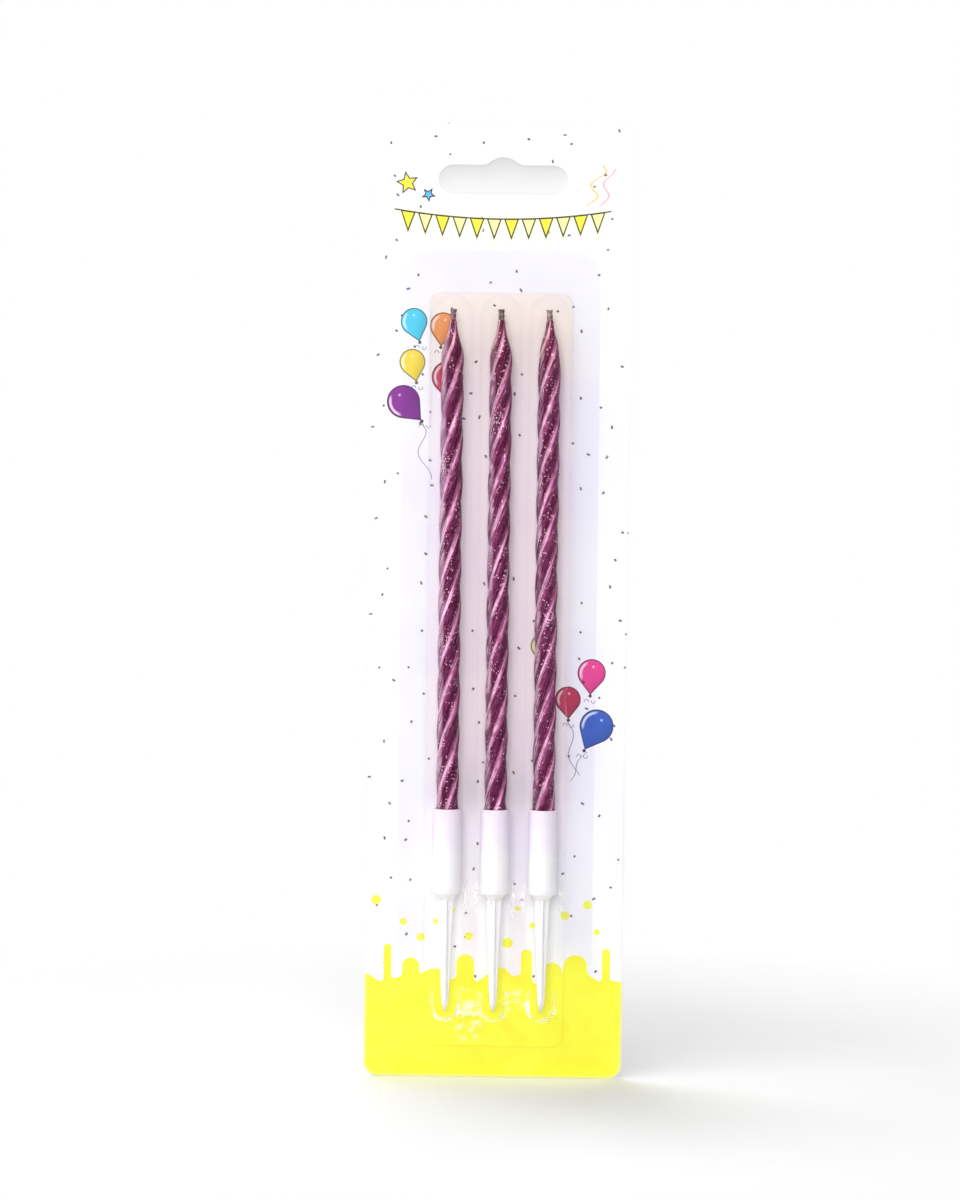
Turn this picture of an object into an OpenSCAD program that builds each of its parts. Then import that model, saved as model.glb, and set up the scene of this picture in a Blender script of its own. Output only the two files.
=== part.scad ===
// Hanging pack of three spiral birthday candles in push-in holders.
// A printed card carries a clear formed blister, and each channel of the blister holds one candle.
// The pack hangs along Z with its face towards -Y. The origin is where a peg hook bears, at the top
// of the hang slot's dome, in the middle of the card's thickness.

/* [Candle] */
// Diameter of the wax over its ridges
candle_d = 5.7; // [5:0.1:8]
// Length of the wax, from its foot to the root of the wick
candle_len = 130; // [90:1:160]
// Length of the tapered shoulder under the wick
shoulder_len = 9.4; // [5:0.1:14]
// Diameter of the wax where the wick comes out
tip_d = 1.9; // [1.8:0.1:3]
// Number of ridges that wind round the candle
ridges = 4; // [3:1:6]
// Depth of the grooves between the ridges
groove_depth = 0.55; // [0.3:0.01:0.7]
// Height in which a ridge winds once round the candle
ridge_lead = 41.6; // [30:0.1:80]
// Distance between the axes of neighbouring candles
candle_pitch = 11.9; // [11:0.1:16]

/* [Wick] */
// Diameter of the wick
wick_d = 1.4; // [1:0.05:1.5]
// Length of wick that stands out of the wax
wick_out = 3.2; // [2:0.1:8]

/* [Holder] */
// Wall of the holder's cup
cup_wall = 0.72; // [0.5:0.01:1.2]
// Height of the cup
cup_len = 20.6; // [16:0.1:28]
// Depth of the socket that the candle stands in
socket_depth = 10; // [7:0.1:12]
// Wall between the core hole under the socket and the cup's outside
core_wall = 1.5; // [1.1:0.05:2]
// Thickness of the cup's floor under the core hole
cup_floor = 1.2; // [0.8:0.1:2]
// Width of the pick below the cup
pick_w = 3.8; // [3:0.1:4.4]
// Width of the pick where its point begins
pick_end_w = 1.8; // [1:0.1:2.4]
// Length of the pick, with its point
pick_len = 28.7; // [20:0.1:40]
// Length of the point at the pick's end
pick_point_len = 2.6; // [1:0.1:5]
// Thickness of the pick's crossed blades
blade_t = 0.9; // [0.6:0.05:1.4]

/* [Blister] */
// Thickness of the formed clear sheet
sheet_t = 0.35; // [0.25:0.01:0.5]
// Room between a cup and the channel round it
channel_room = 1.4; // [0.8:0.1:2.5]
// Room between a pick and the channel round it
pick_room = 1.1; // [0.6:0.1:1.1]
// Height of the blister's flat level above the candles' axes
level_rise = 1; // [0.6:0.1:2.5]
// Free travel between a wick and the top wall of the blister
wick_room = 3.8; // [2:0.1:8]
// Room between the picks' points and the ends of their channels
point_room = 1.5; // [0.6:0.1:4]
// Height of the level space below the channels
foot_room = 6.7; // [3:0.1:12]
// Margin of the blister's level outside the channels
side_room = 0.4; // [0.4:0.1:3]
// Lean of the blister's side walls, in degrees
draft = 4; // [2:0.5:8]
// Radius of the blister's corners, seen from the front
bubble_corner_r = 3.2; // [2.4:0.1:6]
// Radius of the blister's front edges
edge_r = 1.3; // [0.9:0.1:2]
// Width of the sealed flange at the sides
flange_side = 6.7; // [4:0.1:12]
// Width of the sealed flange above the blister
flange_top = 10.5; // [5:0.5:16]
// Width of the sealed flange below the blister
flange_foot = 4.5; // [2.5:0.5:12]
// Radius of the flange's corners
flange_corner_r = 7; // [3:0.5:10]

/* [Card] */
// Thickness of the card
card_t = 0.5; // [0.3:0.05:1.2]
// Width of bare card beside the flange
card_side = 7.7; // [3:0.1:16]
// Height of the card's header above the flange
header_h = 31; // [26:0.1:60]
// Height of bare card below the flange
card_foot = 3.5; // [2:0.5:12]
// Radius of the card's corners
card_corner_r = 3.5; // [1:0.5:8]

/* [Hang slot] */
// Length of the slot
slot_w = 32; // [26:0.5:40]
// Height of the slot beside its dome
slot_h = 7.4; // [5:0.1:9]
// Radius of the dome that centres the hook
dome_r = 5.3; // [4:0.1:6]
// Rise of the dome above the slot
dome_rise = 1.9; // [1.2:0.1:2.5]
// Radius that blends the dome into the slot
dome_blend_r = 3; // [1:0.1:4]
// Distance from the card's top edge down to the dome
slot_edge = 8.2; // [5:0.1:12]

/* [Hidden] */
$fn = 96;

// Clearances between pieces that touch on the real pack
slide_gap = 0.08;
seat_gap = 0.05;
wick_gap = 0.02;
lay_gap = 0.3;
ledge_gap = 0.25;
seal_gap = 0.03;
// Overrun of every cut
over = 1;
// Thickness of the slices that a hull is stretched over
slice_t = 0.01;

// Facets of the wax: points round one ridge, rings up the body and rings up the shoulder
ridge_points = 7;
body_rings = 58;
shoulder_rings = 10;
// Shape of the shoulder: 1 gives a quarter wave, and more draws the tip in
shoulder_power = 1.7;
// Turns of the left, centre and right candle in their sockets, in degrees
candle_turns = [24, 28, 70];

// Radii round a candle's axis
candle_r = candle_d / 2;
wick_r = wick_d / 2;
wick_bore_r = wick_r + wick_gap;
tip_r = tip_d / 2;
socket_r = candle_r + slide_gap;
cup_r = socket_r + cup_wall;
core_r = cup_r - core_wall;
pick_r = pick_w / 2;
channel_r = cup_r + channel_room + sheet_t;
pick_channel_r = pick_r + pick_room + sheet_t;

// Heights of a candle in its holder, up from the pick's point
cup_neck_len = cup_r - pick_r;
cup_foot_z = pick_len + cup_neck_len;
cup_rim_z = cup_foot_z + cup_len;
candle_foot_z = cup_rim_z - socket_depth + seat_gap;
wick_top_z = candle_foot_z + candle_len + wick_out;

// Height of the candles' axes above the card's front
axis_h = cup_r + lay_gap;
level_h = axis_h + level_rise + sheet_t;

// Heights of the blister, up from the pick's point
bubble_foot_z = -point_room - sheet_t - foot_room;
bubble_top_z = wick_top_z + wick_room + sheet_t;
bubble_h = bubble_top_z - bubble_foot_z;
bubble_w = 2 * (candle_pitch + channel_r + side_room);
flange_w = bubble_w + 2 * flange_side;
flange_h = bubble_h + flange_top + flange_foot;
flange_foot_z = bubble_foot_z - flange_foot;
// The channel's wall meets the cup's lower edge where its cone is as wide as the cup
ledge_foot_z = cup_foot_z - ledge_gap - (cup_r - (pick_channel_r - sheet_t));
ledge_len = channel_r - pick_channel_r;

// Size of the card
card_w = flange_w + 2 * card_side;
card_h = card_foot + flange_h + header_h;
// Height of the pick's point in the pack, below the hook
point_z = slot_edge - header_h - flange_top - bubble_top_z;
card_foot_z = slot_edge - card_h;

candle_xs = [-candle_pitch, 0, candle_pitch];
axis_y = -card_t / 2 - axis_h;

// A flat outline w wide and h high that starts at the origin's height, with round corners
module rounded_outline(w, h, r) {
    for (x = [-w / 2 + r, w / 2 - r], z = [r, h - r]) translate([x, z]) circle(r);
    translate([-w / 2 + r, 0]) square([w - 2 * r, h]);
    translate([-w / 2, r]) square([w, h - 2 * r]);
}

// Stands a flat outline up in the XZ plane, from the card's front face at y = 0 forward to y = -depth
module upright(depth) {
    rotate([90, 0, 0]) linear_extrude(depth) children();
}

// Card

// One side of the blend between the dome and the slot's top edge
module dome_blend() {
    centre_drop = dome_r - dome_rise;
    blend_x = sqrt(pow(dome_r + dome_blend_r, 2) - pow(dome_blend_r + centre_drop, 2));
    difference() {
        polygon([[0, -centre_drop], [blend_x, dome_blend_r], [blend_x, 0]]);
        translate([blend_x, dome_blend_r]) circle(dome_blend_r);
    }
}

// The hang slot, with the top of its dome at the origin
module hang_slot_outline() {
    end_r = slot_h / 2;
    translate([0, -dome_rise - slot_h]) {
        for (x = [-slot_w / 2 + end_r, slot_w / 2 - end_r]) translate([x, end_r]) circle(end_r);
        translate([-slot_w / 2 + end_r, 0]) square([slot_w - 2 * end_r, slot_h]);
    }
    intersection() {
        translate([0, -dome_r]) circle(dome_r);
        translate([-dome_r, -dome_rise - slot_h / 2]) square([2 * dome_r, dome_rise + slot_h / 2]);
    }
    translate([0, -dome_rise]) {
        dome_blend();
        mirror([1, 0]) dome_blend();
    }
}

module backing_card() {
    color("white")
        translate([0, card_t / 2, 0]) upright(card_t) difference() {
            translate([0, card_foot_z]) rounded_outline(card_w, card_h, card_corner_r);
            hang_slot_outline();
        }
}

// Blister

// The blister's level: a shallow tray with leaning walls and round front edges, shrunk all round
module level_form(shrink, back) {
    fillet_r = edge_r - shrink;
    edge_steps = [0, 30, 60, 90];
    front_h = level_h - shrink;
    hull() {
        level_slice(shrink, -back, slice_t);
        for (a = edge_steps)
            level_slice(shrink + fillet_r * (1 - cos(a)), front_h - fillet_r + fillet_r * sin(a) - slice_t, slice_t);
    }
}

// One slice of the level, inset from the tray's outline and up its leaning wall
module level_slice(inset, height, depth) {
    lean = inset + height * tan(draft);
    translate([0, -height, bubble_foot_z + lean]) upright(depth)
        rounded_outline(bubble_w - 2 * lean, bubble_h - 2 * lean, bubble_corner_r - inset, $fn = 32);
}

// A candle's channel round its own axis: a round head, a wide bore for candle and cup, and a narrow one for the pick
module channel_form(shrink) {
    wide_r = channel_r - shrink;
    narrow_r = pick_channel_r - shrink;
    head_z = bubble_top_z - sheet_t - channel_r;
    foot_z = -point_room - sheet_t + pick_channel_r;
    rotate_extrude() intersection() {
        union() {
            translate([0, head_z]) circle(wide_r);
            translate([0, ledge_foot_z + ledge_len]) square([wide_r, head_z - ledge_foot_z - ledge_len]);
            polygon([[0, ledge_foot_z], [narrow_r, ledge_foot_z],
                     [wide_r, ledge_foot_z + ledge_len], [0, ledge_foot_z + ledge_len]]);
            translate([0, foot_z]) square([narrow_r, ledge_foot_z - foot_z]);
            translate([0, foot_z]) circle(narrow_r);
        }
        translate([0, bubble_foot_z]) square([channel_r, bubble_h]);
    }
}

// The whole hollow or its outside, in front of the card's face at y = 0 and reaching back behind it
module bubble_form(shrink, back) {
    level_form(shrink, back);
    intersection() {
        for (x = candle_xs) translate([x, -axis_h, 0]) channel_form(shrink);
        translate([-bubble_w / 2, -axis_h - channel_r, bubble_foot_z])
            cube([bubble_w, axis_h + channel_r + back, bubble_h]);
    }
}

module blister_shell() {
    color([0.84, 0.88, 0.95, 0.35])
        translate([0, -card_t / 2 - seal_gap, point_z]) difference() {
            union() {
                translate([0, 0, flange_foot_z]) upright(sheet_t)
                    rounded_outline(flange_w, flange_h, flange_corner_r);
                bubble_form(0, 0);
            }
            bubble_form(sheet_t, over);
        }
}

// Candle

// Radius over the ridges at a height above the candle's foot
function ridge_r(z) =
    let (share = min(1, (candle_len - z) / shoulder_len))
    tip_r + (candle_r - tip_r) * pow(sin(90 * share), shoulder_power);

// Height of one ring of points, evenly spaced on the body and again on the shoulder
function ring_z(ring) =
    ring <= body_rings
        ? (candle_len - shoulder_len) * ring / body_rings
        : candle_len - shoulder_len + shoulder_len * (ring - body_rings) / shoulder_rings;

// Share of the groove's depth at a point: 0 on a ridge's crest and 1 in the groove
function groove_share(point) = 1 - abs(cos(180 * point / ridge_points));

function wax_ring(ring, points) =
    let (z = ring_z(ring), crest_r = ridge_r(z), depth = groove_depth * pow(crest_r / candle_r, 2))
    [for (p = [0 : points - 1])
        let (r = crest_r - depth * groove_share(p), a = 360 * p / points + 360 * z / ridge_lead)
        [r * cos(a), r * sin(a), z]];

// Triangles between two rings of the same number of points, seen from outside
function band(low, high, points) =
    [for (p = [0 : points - 1], second = [0, 1])
        let (next = (p + 1) % points)
        second == 0 ? [low + p, high + p, high + next] : [low + p, high + next, low + next]];

// The wax: a ridged and twisted body with a tapered shoulder, bored along its axis for the wick
module candle_form() {
    points = ridges * ridge_points;
    rings = body_rings + shoulder_rings;
    difference() {
        polyhedron(
            points = [for (ring = [0 : rings]) each wax_ring(ring, points)],
            faces = [
                for (ring = [0 : rings - 1]) each band(ring * points, (ring + 1) * points, points),
                [for (p = [0 : points - 1]) p],
                [for (p = [points - 1 : -1 : 0]) rings * points + p]
            ]
        );
        translate([0, 0, -over]) cylinder(r = wick_bore_r, h = candle_len + 2 * over);
    }
}

// Places a piece of one candle in its channel, up from the pick's point
module in_channel(place) {
    translate([candle_xs[place], axis_y, point_z]) children();
}

module candle(place) {
    color([0.58, 0.25, 0.42]) in_channel(place)
        translate([0, 0, candle_foot_z]) rotate(candle_turns[place]) candle_form();
}

module wick(place) {
    color([0.66, 0.45, 0.58]) in_channel(place)
        translate([0, 0, candle_foot_z]) cylinder(r = wick_r, h = candle_len + wick_out);
}

// Holder

// One blade of the pick, flat in the XZ plane and centred on the axis
module pick_blade() {
    translate([0, blade_t / 2, 0]) upright(blade_t)
        polygon([[-pick_end_w / 2, pick_point_len], [0, 0], [pick_end_w / 2, pick_point_len],
                 [pick_w / 2, pick_len + blade_t], [-pick_w / 2, pick_len + blade_t]]);
}

module holder(place) {
    core_foot_z = cup_foot_z + cup_floor;
    rim_chamfer = cup_wall / 2;
    color([0.97, 0.97, 0.98]) in_channel(place)
        difference() {
            union() {
                translate([0, 0, cup_foot_z]) cylinder(r = cup_r, h = cup_len);
                translate([0, 0, pick_len]) cylinder(r1 = pick_r, r2 = cup_r, h = cup_neck_len);
                pick_blade();
                rotate(90) pick_blade();
            }
            translate([0, 0, cup_rim_z - socket_depth]) cylinder(r = socket_r, h = socket_depth + over);
            translate([0, 0, core_foot_z]) cylinder(r = core_r, h = cup_len);
            translate([0, 0, cup_rim_z - rim_chamfer])
                cylinder(r1 = socket_r, r2 = socket_r + rim_chamfer + over, h = rim_chamfer + over);
        }
}

backing_card();
blister_shell();
candle(0);  // left_candle
wick(0);  // left_wick
holder(0);  // left_holder
candle(1);  // centre_candle
wick(1);  // centre_wick
holder(1);  // centre_holder
candle(2);  // right_candle
wick(2);  // right_wick
holder(2);  // right_holder
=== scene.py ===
import math

import bpy
import numpy as np
from mathutils import Matrix, Vector


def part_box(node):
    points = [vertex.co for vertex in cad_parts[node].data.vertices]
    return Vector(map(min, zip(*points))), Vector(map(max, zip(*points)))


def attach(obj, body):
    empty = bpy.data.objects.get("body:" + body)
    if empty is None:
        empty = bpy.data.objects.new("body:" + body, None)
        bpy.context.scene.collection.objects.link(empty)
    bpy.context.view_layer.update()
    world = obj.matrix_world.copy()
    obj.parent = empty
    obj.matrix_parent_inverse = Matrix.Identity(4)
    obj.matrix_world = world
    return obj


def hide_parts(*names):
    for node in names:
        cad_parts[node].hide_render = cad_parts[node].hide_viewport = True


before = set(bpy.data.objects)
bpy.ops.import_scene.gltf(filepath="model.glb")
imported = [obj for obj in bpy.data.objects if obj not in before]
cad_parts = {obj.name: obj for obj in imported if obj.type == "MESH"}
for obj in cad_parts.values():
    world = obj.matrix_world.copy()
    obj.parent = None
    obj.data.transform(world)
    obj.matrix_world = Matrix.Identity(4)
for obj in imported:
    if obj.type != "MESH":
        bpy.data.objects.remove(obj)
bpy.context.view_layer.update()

MM = 0.001
SIDES = ("left", "centre", "right")

# Sizes of the pack in millimetres, and turns in degrees, as the construction model has them
CANDLE_PITCH = 11.9
CANDLE_R = 2.85
TIP_R = 0.95
CANDLE_LEN = 130.0
SHOULDER_LEN = 9.4
SHOULDER_POWER = 1.7
RIDGES = 4
RIDGE_LEAD = 41.6
GROOVE_DEPTH = 0.55
CANDLE_TURNS = {"left": 24.0, "centre": 28.0, "right": 70.0}
WICK_R = 0.7
WICK_OUT = 3.2
CUP_R = 3.65
SOCKET_R = 2.93
CORE_R = 2.15
CUP_LEN = 20.6
SOCKET_DEPTH = 10.0
CUP_FLOOR = 1.2
PICK_R = 1.9
PICK_END_R = 0.9
PICK_LEN = 28.7
PICK_POINT_LEN = 2.6
BLADE_T = 0.9
CUP_FOOT = PICK_LEN + CUP_R - PICK_R
CUP_RIM = CUP_FOOT + CUP_LEN
SEAT = CUP_RIM - SOCKET_DEPTH
SHEET_T = 0.35
CHANNEL_R = 5.4
PICK_CHANNEL_R = 3.35
WICK_ROOM = 3.8
POINT_ROOM = 1.5
FOOT_ROOM = 6.7
LEDGE_GAP = 0.25
AXIS_H = 3.95
LEVEL_H = 5.3
DRAFT = math.radians(4)
EDGE_R = 1.3
BASE_R = 0.9
BUBBLE_CORNER_R = 3.2
FLANGE_CORNER_R = 7.0
BUBBLE_HALF_W = 17.7
CARD_HALF_W = 32.1
CARD_HALF_H = 118.25
CARD_MID = -110.05
CARD_CORNER_R = 3.5

# The wick's strands and the lead of their twist in millimetres, and the side of the wax that takes painted
# highlights, in degrees round its axis
STRANDS = 3
WICK_LEAD = 3.4
LIT_SIDE = 205


# Numbers in node trees

class Number:
    """A number in a node tree. Sums written with it become Math nodes."""

    def __init__(self, tree, socket):
        self.tree = tree
        self.socket = socket

    def math(self, operation, *others, clamp=False):
        node = self.tree.nodes.new("ShaderNodeMath")
        node.operation = operation
        node.use_clamp = clamp
        for place, value in enumerate((self, *others)):
            if isinstance(value, Number):
                self.tree.links.new(value.socket, node.inputs[place])
            else:
                node.inputs[place].default_value = value
        return Number(self.tree, node.outputs[0])

    def __add__(self, other):
        return self.math("ADD", other)

    __radd__ = __add__

    def __sub__(self, other):
        return self.math("SUBTRACT", other)

    def __rsub__(self, other):
        return self * -1 + other

    def __mul__(self, other):
        return self.math("MULTIPLY", other)

    __rmul__ = __mul__

    def __truediv__(self, other):
        return self.math("DIVIDE", other)

    def __abs__(self):
        return self.math("ABSOLUTE")

    def sqrt(self):
        return self.math("SQRT")

    def sin(self):
        return self.math("SINE")

    def cos(self):
        return self.math("COSINE")

    def least(self, other):
        return self.math("MINIMUM", other)

    def most(self, other):
        return self.math("MAXIMUM", other)

    def above(self, other):
        return self.math("GREATER_THAN", other)

    def clamp(self):
        return self.math("ADD", 0.0, clamp=True)


def length(a, b):
    """Length of the vector (a, b)."""
    return (a * a + b * b).sqrt()


def inside(distance, soft=0.07):
    """A mask that is 1 where the distance is negative, with an edge this soft."""
    return (0.5 - distance / soft).clamp()


def ramp(value, zero, one):
    """0 where the value is at zero or beyond, 1 where it is at one or beyond, and straight between them."""
    return ((value - zero) / (one - zero)).clamp()


def between(value, start, full, fade, end):
    """0 below start, 1 from full to fade, and 0 above end."""
    return ramp(value, start, full) * ramp(value, end, fade)


def linear(colour):
    """Linear RGBA from 0-255 sRGB."""
    out = []
    for channel in colour:
        c = channel / 255
        out.append(c / 12.92 if c <= 0.04045 else ((c + 0.055) / 1.055) ** 2.4)
    return (*out, 1.0)


def shaded(colour, share):
    """A darker colour."""
    return tuple(v * share for v in colour)


class Tree:
    """A node tree with the helpers that all materials share."""

    def __init__(self, tree):
        self.tree = tree

    def link(self, start, end):
        self.tree.links.new(start.socket if isinstance(start, Number) else start, end)

    def node(self, kind, inputs=(), **settings):
        """A shader node with its settings. An input gets a link, a colour of 0-255 numbers, or the value as it is."""
        node = self.tree.nodes.new("ShaderNode" + kind)
        for key, value in settings.items():
            setattr(node, key, value)
        for key, value in dict(inputs).items():
            socket = node.inputs[key]
            if isinstance(value, (Number, bpy.types.NodeSocket)):
                self.link(value, socket)
            elif socket.type == "RGBA" and len(value) == 3:
                socket.default_value = linear(value)
            else:
                socket.default_value = value
        return node

    def number(self, socket):
        return Number(self.tree, socket)

    def parts(self, socket, kind="XYZ"):
        """The three numbers of a vector, or of a colour where the kind is Color."""
        return [self.number(out) for out in self.node("Separate" + kind, {0: socket}).outputs]

    def object_mm(self):
        """The point's place in the piece's own frame, in millimetres."""
        return [part * 1000.0 for part in self.parts(self.node("TexCoord").outputs["Object"])]

    def vector(self, x, y, z):
        return self.node("CombineXYZ", {0: x, 1: y, 2: z}).outputs[0]

    def noise(self, vector, scale, detail=2.0, roughness=0.5, dimensions="3D"):
        inputs = {"Vector": vector, "Scale": scale, "Detail": detail, "Roughness": roughness}
        return self.number(self.node("TexNoise", inputs, noise_dimensions=dimensions).outputs[0])

    def cells(self, vector, scale, dimensions="3D", randomness=1.0):
        """Cells, and the three random numbers that each cell has."""
        inputs = {"Vector": vector, "Scale": scale, "Randomness": randomness}
        node = self.node("TexVoronoi", inputs, feature="F1", voronoi_dimensions=dimensions)
        return node, self.parts(node.outputs["Color"], "Color")

    def mix(self, mask, low, high):
        """The colour low where the mask is 0, and high where it is 1."""
        return self.node("Mix", {0: mask, 6: low, 7: high}, data_type="RGBA").outputs[2]

    def paint(self, colour, *coats):
        """The colour with coats over it, each a mask and a colour."""
        for mask, coat in coats:
            colour = self.mix(mask, colour, coat)
        return colour

    def bump(self, height, distance, strength=1.0, under=None):
        """A bump whose height is in millimetres, over the bump under it."""
        inputs = {"Strength": strength, "Distance": distance * MM, "Height": height}
        if under is not None:
            inputs["Normal"] = under
        return self.node("Bump", inputs).outputs[0]

    def layer(self, group, **values):
        """Uses a group. Its values are named as its inputs are."""
        return self.node("Group", values, node_tree=group.tree).outputs[0]

    def shader(self, kind, **values):
        """A shader. Its values are named as its inputs are, with _ for a space."""
        return self.node(kind, {key.replace("_", " "): value for key, value in values.items()}).outputs[0]

    def blend(self, share, first, second):
        """The first shader where the share is 0, and the second where it is 1."""
        return self.node("MixShader", {0: share, 1: first, 2: second}).outputs[0]


class Group(Tree):
    """A node group with numbers and colours as inputs and one output."""

    def __init__(self, name, numbers, colours=(), gives="NodeSocketColor"):
        super().__init__(bpy.data.node_groups.new(name, "ShaderNodeTree"))
        for keys, kind in ((colours, "NodeSocketColor"), (numbers, "NodeSocketFloat")):
            for key in keys:
                self.tree.interface.new_socket(name=key, in_out="INPUT", socket_type=kind)
        self.tree.interface.new_socket(name="result", in_out="OUTPUT", socket_type=gives)
        start = self.tree.nodes.new("NodeGroupInput")
        self.given = {key: self.number(start.outputs[key]) for key in numbers}
        self.given.update({key: start.outputs[key] for key in colours})

    def gives(self, result):
        self.link(result, self.tree.nodes.new("NodeGroupOutput").inputs[0])
        return self


class Sheet(Tree):
    """A material."""

    def __init__(self, name):
        self.material = bpy.data.materials.new(name)
        self.material.use_nodes = True
        super().__init__(self.material.node_tree)
        self.tree.nodes.clear()

    def ends(self, shader):
        """The material, with the shader that ends it."""
        self.link(shader, self.node("OutputMaterial").inputs["Surface"])
        return self.material

    def principled(self, **values):
        return self.ends(self.shader("BsdfPrincipled", **values))


# Materials

WHITE = (255, 255, 255)

# The wax of each candle: start of its streaks in mm, strength of the painted highlight on its lit edge and of the
# painted gleams on its lit side, and place of its bright patch, in degrees round the axis at rest and in mm up from
# the wax's foot
WAX_LOOKS = {
    "left": (0.0, 0.4, 0.25, 232, 96.0),
    "centre": (310.0, 0.22, 0.5, 262, 106.5),
    "right": (620.0, 0.18, 0.5, 286, 58.0),
}

# Each wick: its dark and pale colour, how much of it is pale spots, how dark its end is, and start of its spots in mm
WICK_LOOKS = {
    "left": ((92, 38, 66), (150, 92, 120), 0.55, 0.25, 0.0),
    "centre": ((66, 42, 58), (128, 98, 114), 0.5, 0.85, 40.0),
    "right": ((92, 66, 82), (172, 148, 162), 0.8, 0.5, 80.0),
}


def wax_material(side):
    """Pearly plum wax: a painted highlight on one flank of each ridge and along the lit side, painted shade on the
    other flank and in the deep grooves, streaks, fine lines, painted glints on glitter, flakes.
    """
    start, edge_highlight_share, gleam_highlight_share, spot_degrees, spot_z = WAX_LOOKS[side]
    m = Sheet(f"pearl_wax_{side}")
    x, y, z = m.object_mm()
    turn = y.math("ARCTAN2", x) - z * (2 * math.pi / RIDGE_LEAD)
    round_x, round_y = turn.cos() * CANDLE_R, turn.sin() * CANDLE_R
    own = z + start
    streak = m.noise(m.vector(round_x, round_y, own * 0.07), 1.5, detail=4, roughness=0.62)
    lines = m.noise(m.vector(round_x, round_y, own * 0.035), 3.6, detail=3, roughness=0.6)
    mottle = m.noise(m.vector(round_x, round_y, own * 0.32), 2.0, detail=4, roughness=0.7)
    place = m.vector(x, y, own)
    patches = m.noise(place, 0.3, detail=2)
    grain = m.noise(place, 3.2, detail=3, roughness=0.65)
    flakes, (lot, tilt, luck) = m.cells(place, 2.6)
    from_flake = m.number(flakes.outputs["Distance"])
    # Painted glints: pale dots on some flakes, standing in for their sparkle
    glint = ramp(lot, 0.82, 0.86) * inside(from_flake - 0.42, 0.2) * ramp(patches, 0.44, 0.56)
    groove = 1.0 - abs((turn * (RIDGES / 2)).cos())
    flank = (turn * -RIDGES + (streak - 0.5) * 2.0).sin()
    bloom = m.number(m.node("Attribute", attribute_name="bloom").outputs["Fac"])
    # Pearly finish with a painted highlight on one flank of each ridge, wider and stronger towards the lit side
    from_flank = 0.82 - bloom * 0.42
    pearl_and_highlight = ramp((flank - from_flank) / (1.08 - from_flank), 0.0, 0.75) * ramp(patches, 0.22, 0.5)
    pearl_and_highlight = pearl_and_highlight * ramp(lines + grain * 0.4, 0.5, 0.72)
    # Painted highlight along the lit edge of the wax
    edge = ramp(bloom, 0.78, 0.96) * ramp(lines, 0.36, 0.52)
    # Painted gleams on the ridge faces at the lit edge
    painted_gleam = ramp(bloom, 0.78, 0.92) * ramp(groove, 0.62, 0.3) * ramp(patches, 0.36, 0.5) * ramp(lines, 0.38, 0.52)
    spot = math.radians(spot_degrees - CANDLE_TURNS[side])
    sideways = length(x - CANDLE_R * math.cos(spot), y - CANDLE_R * math.sin(spot))
    from_spot = length(sideways, (z - spot_z) * 0.5)
    spotted = inside(from_spot + lot * 1.4 - 1.9, 0.5) * ramp(luck, 0.5, 0.58) * inside(from_flake - 0.5, 0.16)
    colour = m.paint(
        m.mix(ramp(streak, 0.36, 0.62), (84, 12, 54), (140, 60, 108)),
        (ramp(lines, 0.5, 0.66) * 0.6, (176, 108, 148)),
        (ramp(lines, 0.47, 0.37) * 0.75, (66, 6, 42)),
        (ramp(mottle, 0.52, 0.62) * 0.42, (184, 112, 156)),
        (ramp(mottle, 0.46, 0.38) * 0.6, (60, 4, 38)),
        (pearl_and_highlight * (bloom * 0.28 + 0.5), (246, 212, 232)),
        # Painted shade on the other flank of each ridge, and in the grooves
        (ramp(flank, -0.1, -0.9) * 0.62, (74, 8, 46)),
        (ramp(groove, 0.6, 1.0) * 0.8, (60, 4, 38)),
        (glint * 0.85, (246, 216, 234)),
        (edge * edge_highlight_share, (238, 200, 224)),
        (painted_gleam * gleam_highlight_share, (250, 230, 243)),
        (spotted * 0.55, (250, 232, 242)),
    )
    normal = m.bump(lines, 0.2, 0.6)
    normal = m.bump(tilt, 0.05, 0.5, normal)
    normal = m.bump(grain, 0.09, 0.55, normal)
    return m.principled(
        Base_Color=colour, Metallic=0.7, Roughness=0.3 + grain * 0.16, Normal=normal,
        Coat_Weight=0.04, Coat_Roughness=0.2, IOR=1.4, Specular_IOR_Level=0.12,
    )


def wick_material(side):
    """A cotton cord that has been dipped: plum and waxy, mottled with paler fibres, and dark at its cut end."""
    m = Sheet(f"dipped_cotton_{side}")
    low, high, pale_share, end_share, start = WICK_LOOKS[side]
    x, y, z = m.object_mm()
    turn = y.math("ARCTAN2", x) - z * (2 * math.pi / WICK_LEAD)
    fibres = m.noise(m.vector(turn.cos() * WICK_R, turn.sin() * WICK_R, z * 0.4), 2.6, detail=4, roughness=0.75)
    spots = m.noise(m.vector(x, y, (z + start) * 0.8), 1.5, detail=3, roughness=0.7)
    strand = abs((turn * (STRANDS / 2)).cos())
    end = ramp(z + spots * 0.8, CANDLE_LEN + 2.6, CANDLE_LEN + 3.3)
    colour = m.paint(
        m.mix(ramp(fibres, 0.38, 0.62), low, high),
        # Painted shade in the hollows between the strands
        ((1.0 - strand).math("POWER", 2.0) * 0.7, (52, 20, 40)),
        (ramp(spots, 0.5, 0.6) * pale_share, (226, 204, 214)),
        (ramp(spots, 0.44, 0.38) * 0.7, (58, 30, 48)),
        (end * end_share, (56, 46, 54)),
    )
    return m.principled(
        Base_Color=colour, Roughness=0.42 + fibres * 0.3, Normal=m.bump(fibres, 0.3, 0.8),
        Coat_Weight=0.25, Coat_Roughness=0.3, Sheen_Weight=0.15,
    )


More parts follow.
